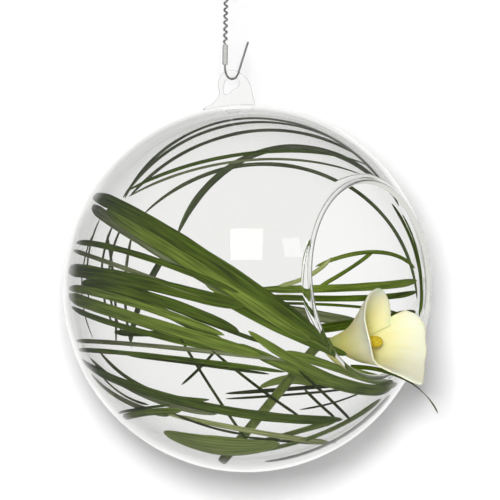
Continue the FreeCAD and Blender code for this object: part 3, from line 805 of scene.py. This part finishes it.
def width_share(share, shape):
    """The width at a share of a blade's length, as a share of its full width."""
    start, whole, taper, _ = shape
    full = start + (1 - start) * math.sqrt(min(1, share / whole))
    if share > taper:
        full *= math.sqrt(max(0.0, 1 - ((share - taper) / (1 - taper)) ** 1.5)) * 0.96 + 0.04
    return full


def curled_blade(points, centre, width, thickness, fold, shape, across=4, seed=0):
    """A grid laid along an arc and bent round a centre, then given its thickness."""
    hub, radius, first, second, sweep = arc_through(*points)
    length = radius * sweep
    steps = max(16, int(length / BLADE_STEP))
    chance = random.Random(seed).random() * 40
    bm = bmesh.new()
    layer = bm.verts.layers.float_vector.new("blade")
    bmesh.ops.create_grid(bm, x_segments=across, y_segments=steps, size=0.5)
    for vert in bm.verts:
        side, share = 2 * vert.co.x, vert.co.y + 0.5
        angle = sweep * share
        spot = hub + radius * (first * math.cos(angle) + second * math.sin(angle))
        along = second * math.cos(angle) - first * math.sin(angle)
        through = (spot - centre).normalized()
        crosswise = along.cross(through)
        reach = (spot - centre).length
        # The edges swell and thin by a tenth, about every 17 mm
        uneven = 1 + 0.1 * noise.noise(Vector((chance, share * length * 60, 0)))
        full = width_share(share, shape) * uneven
        lean = shape[3] * share**3
        offset = side * width / 2 * full
        groove = -fold * (1 - abs(side)) * full
        flat = offset * math.cos(lean) - groove * math.sin(lean)
        high = offset * math.sin(lean) + groove * math.cos(lean)
        turn = flat / reach
        bent = through * math.cos(turn) + crosswise * math.sin(turn)
        vert.co = centre + bent * (reach + high)
        vert[layer] = (side * width * 1000, share * length * 100, chance)
    bmesh.ops.recalc_face_normals(bm, faces=bm.faces)
    bmesh.ops.solidify(bm, geom=bm.faces[:], thickness=thickness)
    bmesh.ops.recalc_face_normals(bm, faces=bm.faces)
    return bm


class VASE_OT_grass(bpy.types.Operator):
    """Lays the curled grass on the inside of the globe"""

    bl_idname = "vase.grass"
    bl_label = "Grass"

    def execute(self, context):
        settings = context.scene.vase_grass
        thickness = settings.thickness
        finishes = grass_finishes(settings)
        for seed, (node, width, finish, side, *points) in enumerate(GRASS + SPLITS):
            split = seed >= len(GRASS)
            radius = layer_radius(node) - split * SPLIT_GAP
            path = [wall_point(*point, side, radius) for point in points]
            width *= MM
            fold = min(settings.fold, 0.1 * width)
            blade = curled_blade(path, GLOBE_CENTRE, width, thickness, fold, GRASS_SHAPE, seed=seed)
            material, slot = finishes[finish]
            name = ("split_" if split else "blade_") + node.removeprefix("grass_")
            new_piece(name, blade, material, "vase", [node])
        path = [GLOBE_CENTRE + point * MM for point in TAIL]
        hub = arc_through(*path)[0]
        tail = curled_blade(
            path, hub, TAIL_WIDTH * MM, thickness, settings.fold, TAIL_SHAPE, seed=99
        )
        material, slot = finishes["dark"]
        new_piece("blade_tail", tail, material, "vase", ["grass_tail"])
        return {"FINISHED"}


class VASE_OT_leaves(bpy.types.Operator):
    """Lays the two leaves on the inside of the globe"""

    bl_idname = "vase.leaves"
    bl_label = "Leaves"

    def execute(self, context):
        thickness = context.scene.vase_grass.thickness
        dark, bright = hex_colour("#5f7029"), hex_colour("#9aab58")
        material = leaf_blade("Plantain lily leaf", dark, bright, LEAF_VEIN, 0.45)
        for seed, (node, width, side, *points) in enumerate(LEAVES, 50):
            radius = layer_radius(node)
            path = [wall_point(*point, side, radius) for point in points]
            width *= MM
            leaf = curled_blade(
                path, GLOBE_CENTRE, width, thickness, LEAF_FOLD, LEAF_SHAPE, across=12, seed=seed
            )
            new_piece("blade_" + node, leaf, material, "vase", [node])
        return {"FINISHED"}


# Calla lily
FLOWER_BASE = Vector((45.7, -35.5, -29.0)) * MM
FLOWER_TURN = 36.0
SPATHE_LENGTH = 46 * MM
SPATHE_REACH = 28.5 * MM
SPATHE_AROUND = 132
SPATHE_ALONG = 52

# The funnel: share of its length, then its middle's height and its radius as shares of the lip's
# radius, then how steeply it looks up there, in degrees
FUNNEL = [
    (0.0, 0.0, 0.0915, -4.0),
    (0.248, -0.004, 0.27, 0.0),
    (0.423, 0.038, 0.419, 5.0),
    (0.584, 0.124, 0.562, 10.0),
    (0.774, 0.19, 0.743, 16.0),
    (1.0, 0.133, 1.0, 20.0),
]
# How far along the funnel the lip is reached, by degrees round from the outer margin
LIP = [
    (0, 0.85),
    (3, 0.915),
    (6, 0.95),
    (14, 0.977),
    (28, 0.972),
    (40, 0.945),
    (51, 0.95),
    (70, 0.933),
    (90, 0.965),
    (108, 1.0),
    (116, 0.936),
    (123, 0.86),
    (143, 0.835),
    (151, 0.785),
    (169, 0.81),
    (188, 0.885),
    (206, 0.975),
    (217, 0.985),
    (235, 0.97),
    (255, 0.965),
    (275, 0.975),
    (289, 0.985),
    (314, 0.87),
    (337, 0.785),
    (357, 0.712),
    (374, 0.668),
]
LIP_BLUR = (-4, -2, 0, 2, 4)
MARGIN_TURN = 32.0

# The inner margin tucks under the outer one, the sheet waves, and the lip rolls out and back
TUCK_START = 318
TUCK_DEPTH = 1.5 * MM
WAVE_HEIGHT = 0.9 * MM
ROLL_START = 0.88
ROLL_OUT = 0.5 * MM
ROLL_BACK = 1.1 * MM

# The spadix: share of its length, then its radius in mm
SPADIX = [(0.0, 1.5), (0.35, 3.1), (0.88, 2.85), (0.95, 2.3), (1.0, 0.4)]
SPADIX_LENGTH = 30.3 * MM
SPADIX_FOOT = 3 * MM
FLORETS = 520
FLORET_RADIUS = 0.5 * MM
GOLDEN_TURN = math.pi * (3 - math.sqrt(5))
FLORET_GRAIN = 0.6667  # mm from spot to spot
STEM_GRAIN = 6.25


def between(table, place):
    """The value at a place in a table of (place, value), along straight lines."""
    for (a, low), (b, high) in zip(table, table[1:]):
        if place <= b:
            return low + (high - low) * max(0.0, place - a) / (b - a)
    return table[-1][1]


def funnel_row(share):
    """The funnel's row at a share of its rows, on a smooth curve through them."""
    last = len(FUNNEL) - 1
    first = min(int(share * last), last - 1)
    part = share * last - first
    a, b, c, d = [Vector(FUNNEL[min(max(first + i, 0), last)]) for i in (-1, 0, 1, 2)]
    if first == 0:
        a = 2 * b - c
    if first == last - 1:
        d = 2 * c - b
    bend = (2 * a - 5 * b + 4 * c - d) * part**2 + (3 * b - a - 3 * c + d) * part**3
    return 0.5 * (2 * b + (c - a) * part + bend)


def flower_point(share, angle, swell):
    """A point at a share of the funnel's rows and an angle from the right upwards, swelled outwards."""
    level = direction(FLOWER_TURN, 0)
    right = Vector((-level.y, level.x, 0))
    along, height, radius, rise = funnel_row(share)
    rise = math.radians(rise)
    up = UP * math.cos(rise) - level * math.sin(rise)
    middle = GLOBE_CENTRE + FLOWER_BASE + level * (along * SPATHE_LENGTH) + UP * (height * SPATHE_REACH)
    out = right * math.cos(angle) + up * math.sin(angle)
    return middle + out * (radius * SPATHE_REACH + swell)


def spathe_sheet(wall):
    """A grid wound into a horn whose two margins overlap at the notch."""
    bm = bmesh.new()
    layer = bm.verts.layers.float_vector.new("blade")
    bmesh.ops.create_grid(bm, x_segments=SPATHE_AROUND, y_segments=SPATHE_ALONG, size=0.5)
    sweep = LIP[-1][0]
    for vert in bm.verts:
        turn = (vert.co.x + 0.5) * sweep
        share = vert.co.y + 0.5
        near = [between(LIP, min(max(turn + blur, 0), sweep)) for blur in LIP_BLUR]
        reach = sum(near) / len(near) * share
        angle = math.radians(MARGIN_TURN - turn)
        tuck = max(0.0, (turn - TUCK_START) / (sweep - TUCK_START))
        wave = Vector((math.cos(angle) * 2.2, math.sin(angle) * 2.2, share * 2))
        roll = max(0.0, share - ROLL_START) / (1 - ROLL_START)
        swell = ROLL_OUT * roll - TUCK_DEPTH * tuck * min(1, 3 * reach)
        swell += WAVE_HEIGHT * noise.noise(wave) * share**2
        back = direction(FLOWER_TURN, 10) * (ROLL_BACK * roll**2)
        vert.co = flower_point(reach, angle, swell) - back
        vert[layer] = (angle, reach, share)
    bmesh.ops.recalc_face_normals(bm, faces=bm.faces)
    bmesh.ops.solidify(bm, geom=bm.faces[:], thickness=wall)
    bmesh.ops.recalc_face_normals(bm, faces=bm.faces)
    return bm


def spadix_rod():
    """A rod that swells from its foot, covered with a spiral of small florets."""
    level = direction(FLOWER_TURN, 0)
    axis = direction(FLOWER_TURN, 1)
    right = Vector((-level.y, level.x, 0))
    up = axis.cross(right)
    base = GLOBE_CENTRE + FLOWER_BASE + level * SPADIX_FOOT

    def on_rod(share, turn, out):
        arm = right * math.cos(turn) + up * math.sin(turn)
        return base + axis * (SPADIX_LENGTH * share) + arm * out

    bm = bmesh.new()
    bmesh.ops.create_uvsphere(bm, u_segments=24, v_segments=28, radius=1.0)
    for vert in bm.verts:
        share = (vert.co.z + 1) / 2
        pole = math.hypot(vert.co.x, vert.co.y) < 0.00001
        radius = 0 if pole else between(SPADIX, share) * MM
        vert.co = on_rod(share, math.atan2(vert.co.y, vert.co.x), radius)
    for i in range(FLORETS):
        share = (i + 0.5) / FLORETS
        spot = on_rod(share, i * GOLDEN_TURN, between(SPADIX, share) * MM)
        matrix = Matrix.Translation(spot)
        bmesh.ops.create_icosphere(bm, subdivisions=1, radius=FLORET_RADIUS, matrix=matrix)
    return bm


class VASE_OT_calla_lily(bpy.types.Operator):
    """Winds the spathe round its spadix and finishes the stem"""

    bl_idname = "vase.calla_lily"
    bl_label = "Calla Lily"

    def execute(self, context):
        settings = context.scene.vase_flower
        petal = spathe_petal(settings.cream)
        gold = plant_flesh(
            "Spadix florets", hex_colour("#b39a1c"), settings.yellow, FLORET_GRAIN, 0.6
        )
        stem = plant_flesh(
            "Calla stem", hex_colour("#566423"), hex_colour("#75843c"), STEM_GRAIN, 0.45
        )
        spathe = spathe_sheet(settings.wall)
        new_piece("spathe", spathe, petal, "vase", ["calla_spathe"])
        new_piece("spadix", spadix_rod(), gold, "vase", ["calla_spadix"])
        give_material("calla_stem", stem)
        return {"FINISHED"}


# Stage
SENSOR_WIDTH = 36
VIEW_OFFSET = Vector((1.8, 0, 20.85)) * MM  # from the globe's centre to the middle of the picture
FLOOR_DEPTH = 0.6
WALL_DISTANCE = 0.13
SHEET_REACH = 2.0
GLASS_BOUNCES = 24
LAMP_DISTANCE = 3.0

# Lamps: name, degrees to the right and up as seen from the vase towards the camera, width and height
# in metres, power in watts, and whether glass and metal mirror it
LAMPS = [
    ("window", 0, 27.5, 1.05, 1.05, 13, True),
    ("side window", 30, 24.5, 0.55, 0.6, 2.6, True),
    ("front lamp", -2.2, 4.8, 0.42, 0.42, 74, False),
]

# The room's grey from behind the camera to straight ahead of it
FIELD = [(0.0, "#5c5c5c"), (0.5, "#7a7a7a"), (0.86, "#646464"), (0.985, "#ffffff")]


def bright_field(tree):
    """White where a ray goes on as the camera looks, and grey beside that and behind the camera."""
    ahead = add_node(
        tree,
        "ShaderNodeVectorTransform",
        convert_from="CAMERA",
        convert_to="WORLD",
        sockets=[("Vector", (0, 0, 1))],
    )
    back = add_node(tree, "ShaderNodeNewGeometry").outputs["Incoming"]
    facing = add_node(
        tree,
        "ShaderNodeVectorMath",
        operation="DOT_PRODUCT",
        links=[(0, back), (1, ahead.outputs["Vector"])],
    )
    share = add_node(
        tree,
        "ShaderNodeMapRange",
        links=[("Value", facing.outputs["Value"])],
        sockets=[("From Min", 1.0), ("From Max", -1.0)],
    )
    stops = [(place, hex_colour(grey)) for place, grey in FIELD]
    return ramp(tree, share.outputs["Result"], stops)


def paper(name):
    """Matt studio paper that is a bright field in glass and metal, and clear from behind."""
    # It gives the eye plain white with soft shadows, and the white and grey bands in the glass
    material = new_material(name)
    tree = material.node_tree
    paint = add_node(tree, "ShaderNodeBsdfDiffuse", sockets=[("Color", hex_colour("#f7f7f7"))])
    field = add_node(tree, "ShaderNodeEmission", links=[("Color", bright_field(tree))])
    in_glass = any_ray(tree, ["Is Transmission Ray", "Is Glossy Ray"])
    front = add_node(
        tree,
        "ShaderNodeMixShader",
        links=[(0, in_glass), (1, paint.outputs["BSDF"]), (2, field.outputs["Emission"])],
    )
    side = add_node(tree, "ShaderNodeNewGeometry")
    clear = add_node(tree, "ShaderNodeBsdfTransparent")
    whole = add_node(
        tree,
        "ShaderNodeMixShader",
        links=[
            (0, side.outputs["Backfacing"]),
            (1, front.outputs["Shader"]),
            (2, clear.outputs["BSDF"]),
        ],
    )
    add_node(tree, "ShaderNodeOutputMaterial", links=[("Surface", whole.outputs["Shader"])])
    return material


def sheet_of_paper(name, turn, place, material):
    """A large flat sheet that faces up before it is turned about X."""
    bm = bmesh.new()
    bmesh.ops.create_grid(bm, x_segments=1, y_segments=1, size=SHEET_REACH)
    matrix = Matrix.Translation(place) @ Matrix.Rotation(turn, 4, "X")
    bmesh.ops.transform(bm, matrix=matrix, verts=bm.verts)
    mesh = bpy.data.meshes.new(name)
    bm.to_mesh(mesh)
    bm.free()
    sheet = bpy.data.objects.new(name, mesh)
    bpy.context.scene.collection.objects.link(sheet)
    mesh.materials.append(material)


def softbox(name, azimuth, elevation, width, height, power, mirrored):
    """A soft lamp that faces the vase and isn't seen through the glass."""
    lamp = bpy.data.lights.new(name, "AREA")
    lamp.shape = "RECTANGLE"
    lamp.size, lamp.size_y = width, height
    lamp.energy = power
    obj = bpy.data.objects.new(name, lamp)
    a, e = math.radians(azimuth), math.radians(elevation)
    away = Vector((math.sin(a) * math.cos(e), -math.cos(a) * math.cos(e), math.sin(e)))
    obj.location = GLOBE_CENTRE + away * LAMP_DISTANCE
    obj.rotation_euler = away.to_track_quat("Z", "Y").to_euler()
    obj.visible_transmission = False
    obj.visible_glossy = mirrored
    bpy.context.scene.collection.objects.link(obj)


def studio_world():
    """The room: white for the camera, a bright field in glass and metal, and dim light for the rest."""
    world = bpy.data.worlds.new("studio")
    world.use_nodes = True
    tree = world.node_tree
    tree.nodes.clear()
    path = add_node(tree, "ShaderNodeLightPath")
    # Light that a dull surface gathers through glass or metal is the dim one too
    gathered = add_node(
        tree,
        "ShaderNodeMath",
        operation="GREATER_THAN",
        links=[(0, path.outputs["Diffuse Depth"])],
        sockets=[(1, 0.5)],
    )
    in_glass = any_ray(tree, ["Is Transmission Ray", "Is Glossy Ray"])
    sharp = add_node(
        tree,
        "ShaderNodeMath",
        operation="SUBTRACT",
        use_clamp=True,
        links=[(0, in_glass), (1, gathered.outputs[0])],
    )
    field = add_node(tree, "ShaderNodeBackground", links=[("Color", bright_field(tree))])
    dim = add_node(tree, "ShaderNodeBackground", sockets=[("Color", hex_colour("#595959"))])
    white = add_node(tree, "ShaderNodeBackground", sockets=[("Color", hex_colour("#ffffff"))])
    light = add_node(
        tree,
        "ShaderNodeMixShader",
        links=[
            (0, sharp.outputs[0]),
            (1, dim.outputs["Background"]),
            (2, field.outputs["Background"]),
        ],
    )
    whole = add_node(
        tree,
        "ShaderNodeMixShader",
        links=[
            (0, path.outputs["Is Camera Ray"]),
            (1, light.outputs["Shader"]),
            (2, white.outputs["Background"]),
        ],
    )
    add_node(tree, "ShaderNodeOutputWorld", links=[("Surface", whole.outputs["Shader"])])
    return world


class VASE_OT_stage(bpy.types.Operator):
    """Sets the camera, the lamps, the white paper and the room"""

    bl_idname = "vase.stage"
    bl_label = "Stage"

    def execute(self, context):
        scene = context.scene
        settings = scene.vase_stage
        camera = bpy.data.objects.new("camera", bpy.data.cameras.new("camera"))
        scene.collection.objects.link(camera)
        scene.camera = camera
        camera.data.sensor_width = SENSOR_WIDTH
        camera.data.lens = SENSOR_WIDTH * settings.camera_distance / settings.view_width
        camera.location = GLOBE_CENTRE + VIEW_OFFSET - Vector((0, settings.camera_distance, 0))
        camera.rotation_euler = (math.pi / 2, 0, 0)
        camera.data.clip_start, camera.data.clip_end = 0.1, 50
        scene.cycles.max_bounces = GLASS_BOUNCES
        scene.cycles.transmission_bounces = GLASS_BOUNCES
        scene.cycles.transparent_max_bounces = GLASS_BOUNCES
        scene.cycles.glossy_bounces = 8
        floor = GLOBE_CENTRE - UP * FLOOR_DEPTH
        sheet_of_paper("floor", 0, floor, paper("White floor paper"))
        wall = GLOBE_CENTRE + Vector((0, WALL_DISTANCE, 0))
        sheet_of_paper("wall", math.pi / 2, wall, paper("White wall paper"))
        for lamp in LAMPS:
            softbox(*lamp)
        scene.world = studio_world()
        scene.view_settings.view_transform = "Standard"
        return {"FINISHED"}


class VASE_PT_hanging_vase(bpy.types.Panel):
    """A button for each piece and the stage, and the settings"""

    bl_label = "Hanging Vase"
    bl_space_type = "VIEW_3D"
    bl_region_type = "UI"
    bl_category = "Vase"

    def draw(self, context):
        for operator in OPERATORS:
            self.layout.operator(operator.bl_idname)
        for name in SETTINGS:
            group = getattr(context.scene, name)
            box = self.layout.box()
            for prop in type(group).__annotations__:
                box.prop(group, prop)


SETTINGS = {
    "vase_glass": GlassSettings,
    "vase_grass": GrassSettings,
    "vase_flower": FlowerSettings,
    "vase_stage": StageSettings,
}
OPERATORS = [
    VASE_OT_glass_globe,
    VASE_OT_wire_hanger,
    VASE_OT_grass,
    VASE_OT_leaves,
    VASE_OT_calla_lily,
    VASE_OT_stage,
]


def register():
    for group in SETTINGS.values():
        bpy.utils.register_class(group)
    for operator in OPERATORS:
        bpy.utils.register_class(operator)
    bpy.utils.register_class(VASE_PT_hanging_vase)
    for name, group in SETTINGS.items():
        setattr(bpy.types.Scene, name, PointerProperty(type=group))


def unregister():
    for name in SETTINGS:
        delattr(bpy.types.Scene, name)
    bpy.utils.unregister_class(VASE_PT_hanging_vase)
    for operator in reversed(OPERATORS):
        bpy.utils.unregister_class(operator)
    for group in reversed(SETTINGS.values()):
        bpy.utils.unregister_class(group)


def main():
    register()
    bpy.ops.vase.glass_globe()
    bpy.ops.vase.wire_hanger()
    bpy.ops.vase.grass()
    bpy.ops.vase.leaves()
    bpy.ops.vase.calla_lily()
    bpy.ops.vase.stage()


if __name__ == "__main__":
    main()
